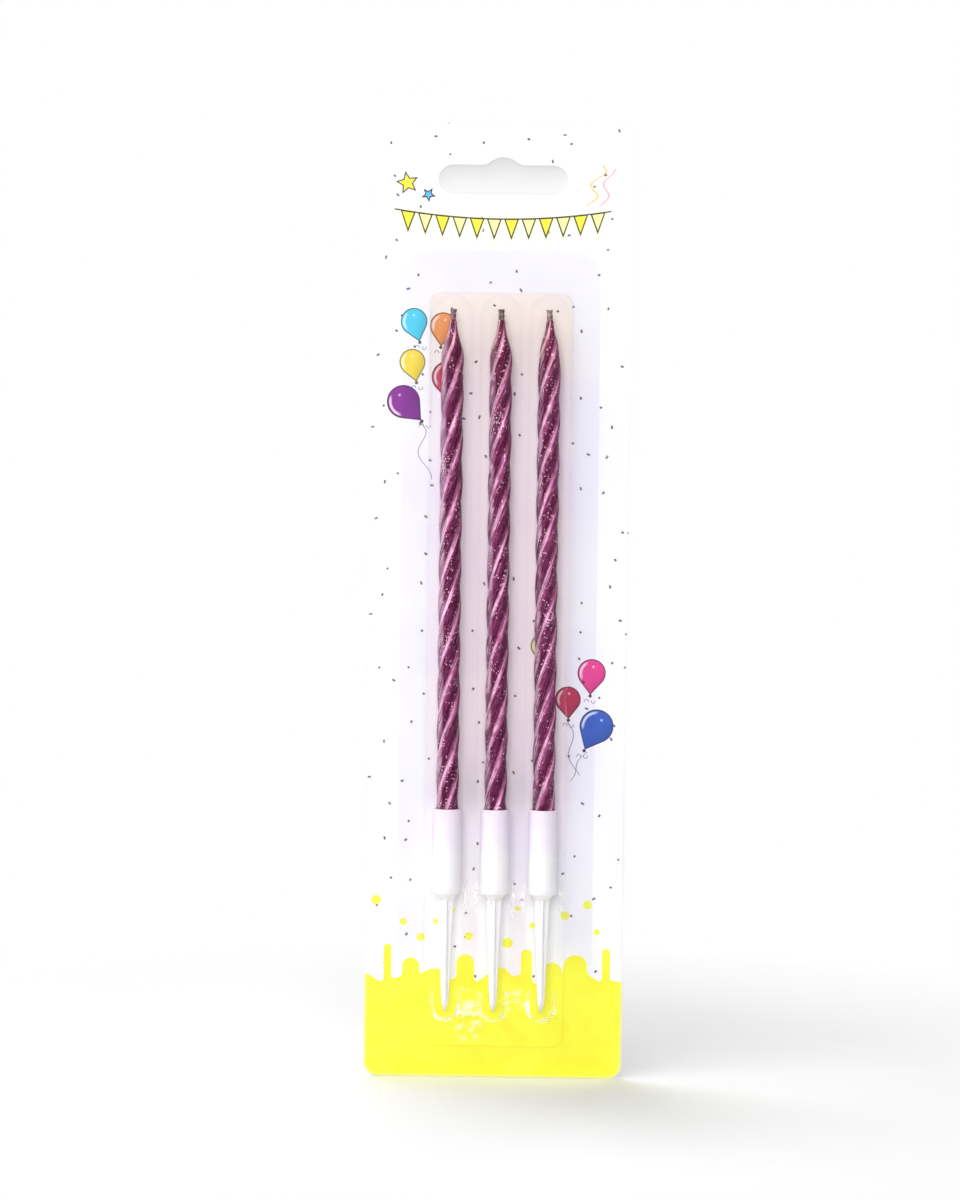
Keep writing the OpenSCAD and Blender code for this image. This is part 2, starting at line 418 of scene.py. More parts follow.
def holder_material():
    """Milky moulded plastic: faint flow marks, and a painted lavender cast where the wax stands behind the wall."""
    m = Sheet("milky_plastic")
    x, y, z = m.object_mm()
    flow = m.noise(m.vector(x, y, z * 0.25), 1.2, detail=3)
    fine = m.noise(m.vector(x, y, z), 14.0, detail=2)
    colour = m.paint(
        m.mix(ramp(flow, 0.3, 0.7), (254, 254, 255), (249, 248, 253)),
        # Painted lavender cast in the cup's upper part, standing in for the wax's colour coming through the wall
        (ramp(z + flow * 2.0, SEAT - 1.5, SEAT + 4.0) * 0.75, (246, 234, 253)),
    )
    return m.principled(
        Base_Color=colour, Roughness=0.3 + flow * 0.12, Normal=m.bump(fine, 0.015, 0.5),
        IOR=1.49, Subsurface_Weight=0.3, Subsurface_Radius=(1.0, 0.95, 1.0),
        Subsurface_Scale=0.001, Coat_Weight=0.1,
    )


def film_material():
    """Clear formed film: see-through, glossier towards its edges, slightly wavy, with faint tints, a painted pink
    cast near the wax, painted shade in its valleys and gaps, and painted highlights as milky marks.
    """
    m = Sheet("clear_film")
    x, y, z = m.object_mm()
    waves = m.noise(m.vector(x, y, z * 0.5), 0.16, detail=2)
    fine = m.noise(m.vector(x, y, z * 0.3), 0.9, detail=2)
    normal = m.bump(fine, 0.06, 0.3, m.bump(waves, 0.5, 0.45))
    edge = m.number(m.node("LayerWeight", {"Blend": 0.5, "Normal": normal}).outputs["Facing"])

    # Sideways distance from the nearest candle's axis, and masks for the room between and round the candles
    off_axis = abs((x + 1.5 * CANDLE_PITCH).math("MODULO", CANDLE_PITCH) - 0.5 * CANDLE_PITCH)
    between_axes = inside(abs(x) - CANDLE_PITCH, 0.3)
    round_axes = inside(abs(x) - 1.5 * CANDLE_PITCH, 0.3)
    # Painted pink cast near the wax, standing in for light bounced off it
    wax_bounce_tint = between(x, -17.0, -14.2, 14.6, 19.5) * between(z, -170.0, -158.0, -54.0, -40.0)
    top = ramp(abs(x), 17.8, 16.4) * between(z, -58.0, -44.0, -34.6, -33.2)
    # Painted shade in the valleys between the channels
    valley = ramp(off_axis, 5.0, 5.8) * between_axes * between(z, -176.0, -160.0, -40.0, -34.0)
    # Painted shade in the lower valleys, which darkens the yellow there
    low_valley = ramp(off_axis, 3.6, 4.6) * between_axes * between(z, -209.0, -200.0, -178.0, -166.0)
    # Painted shade in the gaps between the candles, just above the cups' rims
    gap_shade = ramp(off_axis, 3.8, 5.0) * between_axes * between(z, -166.0, -157.0, -154.0, -146.0)
    # Painted light: the film's tint is left out over the holders, so that they show brighter
    over_holders = ramp(off_axis, 4.2, 3.4) * ramp(z, -158.0, -166.0) * round_axes

    # The tints are linear, and each counts twice: once for the light that comes in, and once for the eye
    face = m.paint(
        (0.945, 0.943, 0.982, 1.0),
        (wax_bounce_tint, (0.999, 0.93, 0.965, 1.0)),
        (top, (0.955, 0.895, 0.85, 1.0)),
        (ramp(z, -192.0, -204.0), (0.994, 0.994, 0.980, 1.0)),
        (valley * 0.35, (0.945, 0.865, 0.912, 1.0)),
        (low_valley * 0.7, (0.965, 0.915, 0.935, 1.0)),
        (gap_shade * 0.9, (0.86, 0.84, 0.86, 1.0)),
        (over_holders, (0.998, 0.996, 0.998, 1.0)),
    )
    rim = m.paint(
        (0.935, 0.9, 0.93, 1.0),
        # Painted shade: darker, warmer rims along the top of the tray
        (ramp(z, -72.0, -46.0), (0.87, 0.81, 0.795, 1.0)),
        (ramp(z, -186.0, -206.0), (0.941, 0.912, 0.865, 1.0)),
    )
    clear = m.shader("BsdfTransparent", Color=m.mix(edge.math("POWER", 1.8), face, rim))
    gloss = m.shader("BsdfAnisotropic", Color=WHITE, Roughness=0.12, Normal=normal)
    glossed = m.blend(edge.math("POWER", 5.0) * 0.6 + 0.006, clear, gloss)
    # Painted highlights, drawn as milky white on the film
    marks = painted_glare_marks(m, x, z, off_axis) * round_axes
    return m.ends(m.blend(marks.clamp(), glossed, m.shader("BsdfDiffuse", Color=WHITE)))


def painted_glare_marks(m, x, z, off_axis):
    """Painted highlights as milky white marks: beside each channel's step, round its foot, and between picks."""
    ragged = m.noise(m.vector(x, 0.0, z * 0.55), 0.55, detail=3, roughness=0.6)
    blotch = m.noise(m.vector(x, 5.0, z * 1.2), 0.36, detail=3, roughness=0.55)
    tongue = inside(abs(off_axis - 4.7) - 0.35, 0.5) * between(z, -188.0, -184.0, -182.0, -177.5)
    foot_z, foot_r = -209.8, 3.3
    foot = inside(abs(length(off_axis, (z - foot_z).least(0.0)) - foot_r) - 0.5, 0.6)
    foot = foot * between(z, -215.5, -214.0, -211.5, -205.5)
    foot_glare = ramp(blotch, 0.47, 0.62) * ramp(off_axis, 2.4, 3.2) * inside(abs(x) - 0.9 * CANDLE_PITCH, 1.0)
    foot_glare = foot_glare * ramp(z - ramp(x, 0.0, 3.0) * 8.0, -219.0, -216.0) * ramp(z, -204.5, -207.5)
    return tongue * ramp(ragged, 0.4, 0.55) * 0.72 + foot * ramp(ragged, 0.4, 0.54) * 0.82 + foot_glare * 0.58


# The card's print, in millimetres from the hang slot

INK = (52, 44, 58)
CONFETTI_PITCH = 7.9

# Balloons: place of the round head, its radius, the turn of its point in degrees, and its colour
BALLOONS = (
    ((-21.6, -40.6), 3.3, 16, (79, 216, 244)),
    ((-14.4, -41.6), 3.3, -6, (240, 160, 96)),
    ((-21.9, -50.6), 3.2, 12, (252, 226, 72)),
    ((-13.2, -54.2), 3.9, 4, (190, 44, 92)),
    ((-24.0, -60.4), 4.1, 44, (134, 40, 146)),
    ((23.4, -127.0), 3.5, -3, (236, 66, 150)),
    ((17.6, -133.6), 3.2, 2, (190, 40, 84)),
    ((24.8, -140.2), 4.2, -26, (52, 92, 190)),
    ((11.2, -120.4), 3.0, 0, (222, 222, 96)),
)

# Strings and streamers: upper end, lower end, sway, turns and start of the wave, half width, and ink
STRING_INK = (128, 116, 138)
STRINGS = (
    ((-19.4, -65.2), (-17.6, -79.5), 1.3, 1.25, 0.4, 0.1, STRING_INK),
    ((-12.9, -60.0), (-10.2, -72.5), 1.1, 1.0, 2.2, 0.1, STRING_INK),
    ((17.7, -139.2), (20.2, -152.5), 1.1, 1.1, 0.2, 0.1, STRING_INK),
    ((22.6, -146.6), (17.4, -154.0), 0.9, 0.8, 3.4, 0.1, STRING_INK),
    ((24.6, -1.6), (21.0, -11.8), 1.3, 1.6, 0.0, 0.28, (242, 208, 120)),
    ((27.4, -2.6), (25.4, -11.6), 1.0, 1.4, 1.2, 0.22, (238, 170, 190)),
)

# Stars: place, radius, turn and colour
STARS = (
    ((-23.6, -6.6), 3.0, 0.2, (255, 236, 60)),
    ((-18.4, -9.4), 1.9, 0.7, (90, 190, 236)),
)

# Spurts of the foot band: middle, top and half width
SPURTS = (
    (-26.4, -195.2, 0.95), (-20.6, -198.6, 2.1), (-14.5, -201.2, 2.6), (-7.0, -197.6, 2.2),
    (1.6, -200.8, 2.8), (8.2, -196.2, 1.4), (14.6, -199.4, 2.4), (20.4, -197.4, 2.9), (28.0, -195.8, 1.0),
)

# Drops above the foot band: place and radius
DROPS = (
    (-29.4, -184.2, 1.2), (-22.6, -189.6, 0.9), (-18.2, -193.4, 1.0), (-14.6, -189.4, 0.7), (-6.2, -193.0, 1.0),
    (3.4, -194.6, 1.3), (9.6, -190.2, 0.8), (17.6, -187.6, 1.1), (23.2, -184.8, 1.1), (25.6, -191.6, 0.8),
    (5.8, -186.0, 0.6), (-10.2, -186.6, 0.6),
)


def balloon_group():
    """A balloon: a round head drawn out to a point, with outline, shade, shine, knot and curls."""
    g = Group("balloon", ("x", "z", "place_x", "place_z", "radius", "cos", "sin"),
              ("colour", "fill", "dark", "low", "pale"))
    x, z, radius, c, s = (g.given[key] for key in ("x", "z", "radius", "cos", "sin"))
    fill, dark, low, pale = (g.given[key] for key in ("fill", "dark", "low", "pale"))
    dx, dz = x - g.given["place_x"], z - g.given["place_z"]
    across, up = dx * c + dz * s, dz * c - dx * s
    lean = 1 / 1.55
    flank = math.sqrt(1 - lean * lean)
    side = abs(across)
    head = length(across, up) - radius
    point = side * flank - up * lean - radius
    pointed = (up * -flank - side * lean).above(0.0)
    distance = head + (point - head) * pointed
    knot = length(across, up + radius * 1.62) - 0.42
    shade = ramp(across * 0.8 - up * 0.45, radius * 0.1, radius * 1.1)
    band = inside(distance + 0.55, 0.2) * (1.0 - inside(distance + 1.15, 0.3))
    spot = length(across - radius * 0.1, up - radius * 0.45) - 0.3
    colour = g.paint(
        g.given["colour"],
        (inside(distance.least(knot)), dark),
        (inside(distance + 0.27), fill),
        (inside(distance + 0.3) * shade * 0.7, low),
        (band * ramp(across * -0.9 + up * 0.25, radius * 0.42, radius * 0.6), pale),
        (inside(spot, 0.25) * 0.7, pale),
    )
    curl_x, curl_z = dx - s * radius * 1.9, dz + c * radius * 1.9 + 0.35
    for hand in (-1, 1):
        ring = abs(length(curl_x - hand * 0.85, curl_z) - 0.48) - 0.09
        colour = g.mix(inside(ring.most(curl_z * hand - 0.2)) * 0.75, colour, INK)
    return g.gives(colour)


def string_group():
    """A thin wavy line between two heights."""
    g = Group("string", ("x", "z", "top_x", "top_z", "end_x", "end_z", "sway", "turns", "phase", "half"),
              ("colour", "ink"))
    v = g.given
    drop = v["top_z"] - v["end_z"]
    share = (v["top_z"] - v["z"]) / drop
    wave = ((share * v["turns"] * (2 * math.pi) + v["phase"]).sin() - v["phase"].sin()) * v["sway"]
    line = share * (v["end_x"] - v["top_x"]) + v["top_x"] + wave * ramp(share, 0.0, 0.15)
    distance = (abs(v["x"] - line) * 0.86 - v["half"]).most((abs(share - 0.5) - 0.5) * drop)
    return g.gives(g.mix(inside(distance) * 0.85, v["colour"], v["ink"]))


def star_group():
    """A five-pointed star with a dark outline."""
    g = Group("star", ("x", "z", "place_x", "place_z", "radius", "turn"), ("colour", "fill"))
    dx, dz = g.given["x"] - g.given["place_x"], g.given["z"] - g.given["place_z"]
    radius = g.given["radius"]
    fifth = 2 * math.pi / 5
    angle = (dx.math("ARCTAN2", dz) + g.given["turn"] + (fifth / 2 + 4 * math.pi)).math("MODULO", fifth) - fifth / 2
    reach = length(dx, dz)
    inner = 0.46
    ax, az = inner * math.sin(fifth / 2), inner * math.cos(fifth / 2) - 1
    size = math.hypot(ax, az)
    distance = abs(angle.sin() * reach) * (-az / size) + (angle.cos() * reach - radius) * (ax / size)
    colour = g.mix(inside(distance), g.given["colour"], INK)
    return g.gives(g.mix(inside(distance + 0.3), colour, g.given["fill"]))


def spurt_group():
    """Joins a rounded spurt softly to the shape drawn so far."""
    g = Group("spurt", ("x", "z", "middle", "top", "half", "so_far"), gives="NodeSocketFloat")
    v = g.given
    spurt = length(v["x"] - v["middle"], (v["z"] - v["top"] + v["half"]).most(0.0)) - v["half"]
    return g.gives(v["so_far"].math("SMOOTH_MIN", spurt, 1.6))


def drop_group():
    """Adds a round drop to the shape drawn so far."""
    g = Group("drop", ("x", "z", "place_x", "place_z", "radius", "so_far"), gives="NodeSocketFloat")
    v = g.given
    return g.gives(v["so_far"].least(length(v["x"] - v["place_x"], v["z"] - v["place_z"]) - v["radius"]))


def draw_confetti(m, colour, x, z):
    """Small dark slips of confetti, each in a cell of its own and turned its own way."""
    cells, (red, green, blue) = m.cells(m.vector(x, z, 0.0), 1 / CONFETTI_PITCH, "2D", 0.9)
    middle_x, middle_z = m.parts(cells.outputs["Position"])[:2]
    dx, dz = x - middle_x, z - middle_z
    turn = red * math.pi
    u = dx * turn.cos() + dz * turn.sin()
    v = dz * turn.cos() - dx * turn.sin()
    slip = (abs(u) - (green * 0.25 + 0.22)).most(abs(v) - 0.24)
    ink = m.mix(green.above(0.76), (48, 40, 52), (110, 104, 52))
    ink = m.mix(green.above(0.86), ink, (96, 60, 128))
    return m.mix(inside(slip, 0.16) * blue.above(0.14) * 0.95, colour, ink)


def draw_foot_band(m, colour, x, z):
    """The yellow band at the foot, with rounded spurts along its edge and drops above it."""
    band_top = -203.4
    wave = (x * 0.33 + 0.8).sin() * 0.9 + (x * 0.81 + 2.1).sin() * 0.5
    distance = (z - wave - band_top) * 0.9
    spurt, drop = spurt_group(), drop_group()
    for middle, top, half in SPURTS:
        distance = m.number(m.layer(spurt, x=x, z=z, middle=middle, top=top, half=half, so_far=distance))
    for px, pz, radius in DROPS:
        distance = m.number(m.layer(drop, x=x, z=z, place_x=px, place_z=pz, radius=radius, so_far=distance))
    mottle = m.noise(m.vector(x, z, 0.0), 0.14, detail=2, dimensions="2D")
    yellow = m.mix(ramp(mottle, 0.4, 0.68) * 0.55, (254, 255, 66), (255, 240, 44))
    yellow = m.mix(ramp(z, -198.0, -190.0) * 0.45, yellow, (240, 250, 110))
    return m.mix(inside(distance, 0.12), colour, yellow)


def draw_bunting(m, colour, x, z):
    """A row of small pennants on a sagging line, where a heading would be."""
    half_span, pitch, drop = 25.5, 4.25, 5.2
    sag = 2.0 - x * x * (2.0 / (half_span * half_span))
    line = z + 13.2 + sag
    cell = ((x + half_span) / pitch).math("FLOOR")
    local = x + half_span - (cell + 0.5) * pitch
    depth = line * -1.0
    edge = (abs(local) - (1.0 - depth / drop) * 1.85) * 0.93
    pennant = edge.most(line - 0.1).most(abs(x) - half_span)
    cord = (abs(line) - 0.17).most(abs(x) - half_span - 1.2)
    ink = (44, 42, 26)
    fill = m.mix(cell.math("MODULO", 2.0), (255, 244, 54), (255, 252, 168))
    return m.paint(
        colour, (inside(pennant - 0.5, 1.1) * 0.4, (250, 255, 130)), (inside(pennant), ink),
        (inside(pennant + 0.34), fill), (inside(cord), ink),
    )


def card_material():
    """A coated white card: party print on its front, and plain board on its back and edges."""
    m = Sheet("printed_card")
    x, y, z = m.object_mm()
    towards_back = m.parts(m.node("TexCoord").outputs["Normal"])[1]
    front = (towards_back * -1.0).above(0.5)
    tint = m.noise(m.vector(x, z, 0.0), 0.035, detail=2, dimensions="2D")
    colour = m.mix(ramp(tint, 0.4, 0.65), (253, 253, 253), (248, 247, 253))
    string, balloon, star = string_group(), balloon_group(), star_group()
    for (top_x, top_z), (end_x, end_z), sway, turns, phase, half, ink in STRINGS:
        colour = m.layer(string, colour=colour, x=x, z=z, top_x=top_x, top_z=top_z, end_x=end_x, end_z=end_z,
                         sway=sway, turns=turns, phase=phase, half=half, ink=ink)
    for (place_x, place_z), radius, turn, fill in BALLOONS:
        colour = m.layer(balloon, colour=colour, x=x, z=z, place_x=place_x, place_z=place_z, radius=radius,
                         cos=math.cos(math.radians(turn)), sin=math.sin(math.radians(turn)), fill=fill,
                         dark=shaded(fill, 0.45), low=shaded(fill, 0.72),
                         pale=tuple(255 - (255 - v) * 0.22 for v in fill))
    colour = draw_confetti(m, colour, x, z)
    colour = draw_bunting(m, colour, x, z)
    for (place_x, place_z), radius, turn, fill in STARS:
        colour = m.layer(star, colour=colour, x=x, z=z, place_x=place_x, place_z=place_z, radius=radius,
                         turn=turn, fill=fill)
    colour = draw_foot_band(m, colour, x, z)
    fibres = m.noise(m.vector(x, y * 6.0, z), 0.9, detail=5, roughness=0.7)
    board = m.mix(ramp(fibres, 0.3, 0.7), (246, 245, 243), (236, 235, 232))
    # Painted shade along the card's outer border, so that its edge shows against the white
    past_x = abs(x) - (CARD_HALF_W - CARD_CORNER_R)
    past_z = abs(z - CARD_MID) - (CARD_HALF_H - CARD_CORNER_R)
    rim = length(past_x.most(0.0), past_z.most(0.0))
    colour = m.mix(ramp(rim, CARD_CORNER_R - 0.8, CARD_CORNER_R) * 0.4, colour, (222, 222, 228))
    return m.principled(
        Base_Color=m.mix(front, board, colour), Roughness=0.62 - front * 0.34 + fibres * 0.06,
        Normal=m.bump(fibres, 0.02, 0.25), IOR=1.45,
    )


# Shapes

def add_mesh(name, points, faces, material, body, place=(0, 0, 0), turn=0.0, sharp=None):
    """Makes a piece from points in millimetres in its own frame, and lets it ride on a body."""
    data = bpy.data.meshes.new(name)
    data.from_pydata([tuple(p) for p in np.asarray(points, float) * MM], [], [tuple(f) for f in faces])
    data.validate()
    piece = bpy.data.objects.new(name, data)
    piece.location = [v * MM for v in place]
    piece.rotation_euler = (0.0, 0.0, math.radians(turn))
    bpy.context.scene.collection.objects.link(piece)
    data.polygons.foreach_set("use_smooth", [True] * len(data.polygons))
    if sharp:
        data.set_sharp_from_angle(angle=math.radians(sharp))
    data.materials.append(material)
    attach(piece, body)
    return piece


def foot_of(node):
    """The middle of a node's foot, in millimetres."""
    low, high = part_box(node)
    return (low.x + high.x) / 2 / MM, (low.y + high.y) / 2 / MM, low.z / MM


def circle(around):
    """Angles round a circle."""
    return np.linspace(0, 2 * math.pi, around, endpoint=False)


def tube_faces(rings, around, foot=False, top=False):
    """Quads between rings of points, seen from outside, with the rings counted upward, and flat ends if asked."""
    faces = []
    for low in range(0, (rings - 1) * around, around):
        for p in range(around):
            q = (p + 1) % around
            faces.append((low + p, low + q, low + around + q, low + around + p))
    if foot:
        faces.append(tuple(range(around - 1, -1, -1)))
    if top:
        faces.append(tuple(range((rings - 1) * around, rings * around)))
    return faces


def crest_radius(z):
    """Radius of the wax over its ridges, up from its foot."""
    share = np.clip((CANDLE_LEN - z) / SHOULDER_LEN, 0, 1)
    return TIP_R + (CANDLE_R - TIP_R) * np.sin(share * math.pi / 2) ** SHOULDER_POWER


def make_candle(side, material):
    """The wax of one candle: four twisted ridges with sharp grooves, small ribs on them, and a drawn shoulder."""
    around, body_rings, shoulder_rings = 144, 420, 56
    foot_chamfer = 0.12
    body_z = np.linspace(0, CANDLE_LEN - SHOULDER_LEN, body_rings)
    shoulder_z = np.linspace(CANDLE_LEN - SHOULDER_LEN, CANDLE_LEN, shoulder_rings)
    z = np.concatenate([[0.0, foot_chamfer], body_z[1:], shoulder_z[1:]])[:, None]
    a = circle(around)[None, :]
    crest = crest_radius(z)
    slim = (crest / CANDLE_R) ** 2
    seed = {"left": 0.3, "centre": 2.1, "right": 4.4}[side]
    wobble = 0.025 * np.sin(z * 0.21 + seed) * np.sin(3 * a + seed) + 0.018 * np.sin(z * 0.53 + 2 * a + seed)
    groove = 1 - np.abs(np.cos(RIDGES / 2 * a))
    ribs = 0.045 * (1 - np.abs(np.cos(RIDGES * 1.5 * a))) + 0.02 * np.cos(RIDGES * 4 * a + 0.1 * z)
    r = crest - slim * (GROOVE_DEPTH * groove + ribs * (1 - groove)) + slim * (wobble - 0.04)
    r = np.where(z < foot_chamfer, r - 0.25, r)
    angle = a + 2 * math.pi * z / RIDGE_LEAD
    rings = [np.stack([r * np.cos(angle), r * np.sin(angle), z + 0 * a], -1).reshape(-1, 3)]

    # The wax closes over its shoulder in a small collar round the wick
    tip = angle[-1]
    for rise, radius in ((0.25, 0.84), (0.6, WICK_R + 0.04), (0.62, WICK_R - 0.15)):
        rings.append(np.stack([radius * np.cos(tip), radius * np.sin(tip), np.full(around, CANDLE_LEN + rise)], -1))
    points = np.concatenate(rings)
    faces = tube_faces(len(points) // around, around, foot=True, top=True)
    candle = add_mesh(f"{side}_spiral_wax", points, faces, material, f"{side}_candle",
                      foot_of(f"{side}_candle"), turn=CANDLE_TURNS[side])
    # How far each point faces the lit side, which the wax's painted highlights follow
    lit_angle = math.radians(LIT_SIDE - CANDLE_TURNS[side])
    towards = points[:, 0] * math.cos(lit_angle) + points[:, 1] * math.sin(lit_angle)
    bloom = np.clip(towards / np.hypot(points[:, 0], points[:, 1]), 0, 1)
    candle.data.attributes.new("bloom", "FLOAT", "POINT").data.foreach_set("value", bloom.astype(np.float32))
    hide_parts(f"{side}_candle")


def make_wick(side, material):
    """A cord of three twisted strands, cut off square and a little spread at its end."""
    around, body_rings, end_rings = 30, 60, 60
    low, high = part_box(f"{side}_wick")
    height = (high.z - low.z) / MM
    z = np.concatenate([np.linspace(0, CANDLE_LEN - 4, body_rings),
                        np.linspace(CANDLE_LEN - 3.8, height, end_rings)])[:, None]
    a = circle(around)[None, :]
    spread = 1 + 0.1 * np.clip((z - height + 0.9) / 0.9, 0, 1) ** 2
    lobes = 0.95 + 0.15 * np.abs(np.cos(STRANDS / 2 * a))
    seed = {"left": 0.0, "centre": 1.9, "right": 3.7}[side]
    rough = 1 + 0.04 * np.sin(4 * a + z * 3.1 + seed) + 0.03 * np.sin(9 * a - z * 5.3 + seed)
    r = WICK_R * lobes * spread * rough * 0.97
    angle = a + 2 * math.pi * z / WICK_LEAD + seed
    bend = 0.16 * (np.clip(z - CANDLE_LEN, 0, None) / WICK_OUT) ** 2
    bend_x, bend_y = bend * math.cos(seed), bend * math.sin(seed)
    cut = 0.05 * np.cos(2 * a + seed) * (z > height - 0.01)
    points = np.stack([r * np.cos(angle) + bend_x, r * np.sin(angle) + bend_y, z + cut], -1).reshape(-1, 3)
    points = np.concatenate([points, [[bend_x[-1, 0], bend_y[-1, 0], height - 0.22]]])
    faces = tube_faces(len(z), around, foot=True)
    last = (len(z) - 1) * around
    faces += [(last + p, last + (p + 1) % around, last + around) for p in range(around)]
    wick = add_mesh(f"{side}_twisted_wick", points, faces, material, f"{side}_candle",
                    foot_of(f"{side}_wick"))
    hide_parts(f"{side}_wick")


def arc(centre, radius, start, end, steps):
    """Points of an arc in the plane, with its angles in degrees."""
    return [(centre[0] + radius * math.cos(math.radians(t)), centre[1] + radius * math.sin(math.radians(t)))
            for t in np.linspace(start, end, steps)]


def lathe(profile, around):
    """Points and faces of a closed form turned about the upright axis. The profile starts and ends on the axis."""
    inner = profile[1:-1]
    points = [(r * math.cos(t), r * math.sin(t), z) for r, z in inner for t in circle(around)]
    faces = tube_faces(len(inner), around)
    first, last = len(points), len(points) + 1
    points += [(0, 0, profile[0][1]), (0, 0, profile[-1][1])]
    end = (len(inner) - 1) * around
    for p in range(around):
        q = (p + 1) % around
        faces.append((first, q, p))
        faces.append((last, end + p, end + q))
    return points, faces


def blade(turn):
    """One blade of the pick: a tapered flat bar with round edges that ends in a point."""
    sections = 16
    heights = np.concatenate([np.linspace(0.15, PICK_POINT_LEN, 8),
                              np.linspace(PICK_POINT_LEN + 1, PICK_LEN + BLADE_T, 24)])
    points = []
    for z in heights:
        if z < PICK_POINT_LEN:
            half = PICK_END_R * z / PICK_POINT_LEN
        else:
            half = PICK_END_R + (PICK_R - PICK_END_R) * (z - PICK_POINT_LEN) / (PICK_LEN - PICK_POINT_LEN)
        half = min(half, PICK_R)
        thick = min(BLADE_T / 2, half)
        for t in circle(sections):
            u = math.copysign(abs(math.cos(t)) ** 0.35, math.cos(t)) * half
            v = math.copysign(abs(math.sin(t)) ** 0.5, math.sin(t)) * thick
            points.append((u * math.cos(turn) - v * math.sin(turn), u * math.sin(turn) + v * math.cos(turn), z))
    return points, tube_faces(len(heights), sections, foot=True, top=True)


def make_holder(side, material):
    """One moulded holder: a round cup with a rolled rim, a socket, a seat ledge and a core, and a crossed pick."""
    wall = CUP_R - SOCKET_R
    core_foot = CUP_FOOT + CUP_FLOOR
    profile = [(0, PICK_LEN), (PICK_R - 0.15, PICK_LEN)]
    profile += arc((PICK_R - 0.15, PICK_LEN + 0.15), 0.15, -80, -45, 3)
    profile += [(CUP_R - 0.5, CUP_FOOT - 0.5)]
    profile += arc((CUP_R - 0.75, CUP_FOOT + 0.05), 0.75, -40, 0, 6)
    profile += [(CUP_R, CUP_FOOT + 1.5), (CUP_R, CUP_RIM - 4), (CUP_R, CUP_RIM - 0.4)]
    profile += arc((CUP_R - 0.22, CUP_RIM - 0.22), 0.22, 0, 90, 6)
    profile += arc((SOCKET_R + 0.3, CUP_RIM - 0.3), 0.3, 92, 178, 6)
    profile += [(SOCKET_R, CUP_RIM - wall), (SOCKET_R, SEAT + 0.1), (SOCKET_R - 0.08, SEAT), (CORE_R + 0.06, SEAT),
                (CORE_R, SEAT - 0.08), (CORE_R, core_foot + 0.2), (CORE_R - 0.2, core_foot), (0, core_foot)]
    points, faces = lathe(profile, 72)
    for turn in (0.0, math.pi / 2):
        more, quads = blade(turn)
        shift = len(points)
        points += more
        faces += [tuple(v + shift for v in quad) for quad in quads]
    holder = add_mesh(f"{side}_moulded_holder", points, faces, material, f"{side}_holder",
                      foot_of(f"{side}_holder"), sharp=50)
    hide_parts(f"{side}_holder")


# The blister's sheet

def channel_radius(z, marks):
    """Outside radius of a channel at a height: round head, wide bore, soft step, narrow bore, round foot."""
    step = np.clip((z - marks["ledge_foot"]) / (marks["ledge_top"] - marks["ledge_foot"]), 0, 1)
    radius = PICK_CHANNEL_R + (CHANNEL_R - PICK_CHANNEL_R) * step * step * (3 - 2 * step)
    over_head = np.clip(z - marks["head"], 0, None)
    under_foot = np.clip(marks["foot"] - z, 0, None)
    return radius, over_head + under_foot


def wall_profile():
    """Inset from the tray's outline and height of the sheet's front, from flange over the wall to the level."""
    t = math.tan(DRAFT)
    norm = math.sqrt(1 + t * t)
    base_h = SHEET_T + BASE_R
    base = (base_h * t - BASE_R * norm, base_h)
    top_h = LEVEL_H - EDGE_R
    top = (top_h * t + EDGE_R * norm, top_h)
    points = arc(base, BASE_R, -90, -math.degrees(DRAFT), 9)
    wall_low, wall_high = points[-1][1], top[1] + EDGE_R * math.sin(DRAFT)
    points += [(h * t, h) for h in np.linspace(wall_low, wall_high, 9)[1:-1]]
    points += arc(top, EDGE_R, 180 - math.degrees(DRAFT), 90, 9)
    return np.array(points)


def soft_max(a, b, blend):
    """The larger of two heights, blended where they are close."""
    near = np.clip(blend - np.abs(a - b), 0, None)
    return np.maximum(a, b) + near * near / (4 * blend)


def form_height(x, z, marks):
    """Height of the sheet's front over the card, at any place."""
    dx = np.abs(x) - marks["corner_x"]
    dz = np.maximum(marks["corner_low"] - z, z - marks["corner_high"])
    outer = np.hypot(np.clip(dx, 0, None), np.clip(dz, 0, None)) + np.minimum(np.maximum(dx, dz), 0)
    height = np.interp(BUBBLE_CORNER_R - outer, *wall_profile().T)
    radius, beyond = channel_radius(z, marks)
    for centre in marks["centres"]:
        q = radius ** 2 - (x - centre) ** 2 - beyond ** 2
        channel = AXIS_H + np.where(q > 0, 1, -3) * np.sqrt(np.abs(q))
        height = soft_max(height, channel, 0.5)
    return height


def spaced(values, low, high, gap=0.14):
    """Sorted values from low to high, with both ends kept and none closer than the gap to the one before."""
    kept = [low]
    for v in sorted(values):
        if v - kept[-1] >= gap and high - v >= gap:
            kept.append(v)
    return np.array(kept + [high])


def blister_marks():
    """Where the blister's tray, channels and ledges start and end, from the pieces inside it."""
    holder_foot = foot_of("centre_holder")[2]
    outside_foot = holder_foot - POINT_ROOM - SHEET_T
    tray_foot, tray_top = outside_foot - FOOT_ROOM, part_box("centre_wick")[1].z / MM + WICK_ROOM + SHEET_T
    ledge_foot = holder_foot + CUP_FOOT - LEDGE_GAP - (CUP_R - PICK_CHANNEL_R + SHEET_T)
    return {
        "centres": [foot_of(f"{side}_holder")[0] for side in SIDES],
        "corner_x": BUBBLE_HALF_W - BUBBLE_CORNER_R,
        "corner_low": tray_foot + BUBBLE_CORNER_R,
        "corner_high": tray_top - BUBBLE_CORNER_R,
        "head": tray_top - SHEET_T - CHANNEL_R,
        "foot": outside_foot + PICK_CHANNEL_R,
        "ledge_foot": ledge_foot,
        "ledge_top": ledge_foot + CHANNEL_R - PICK_CHANNEL_R,
    }


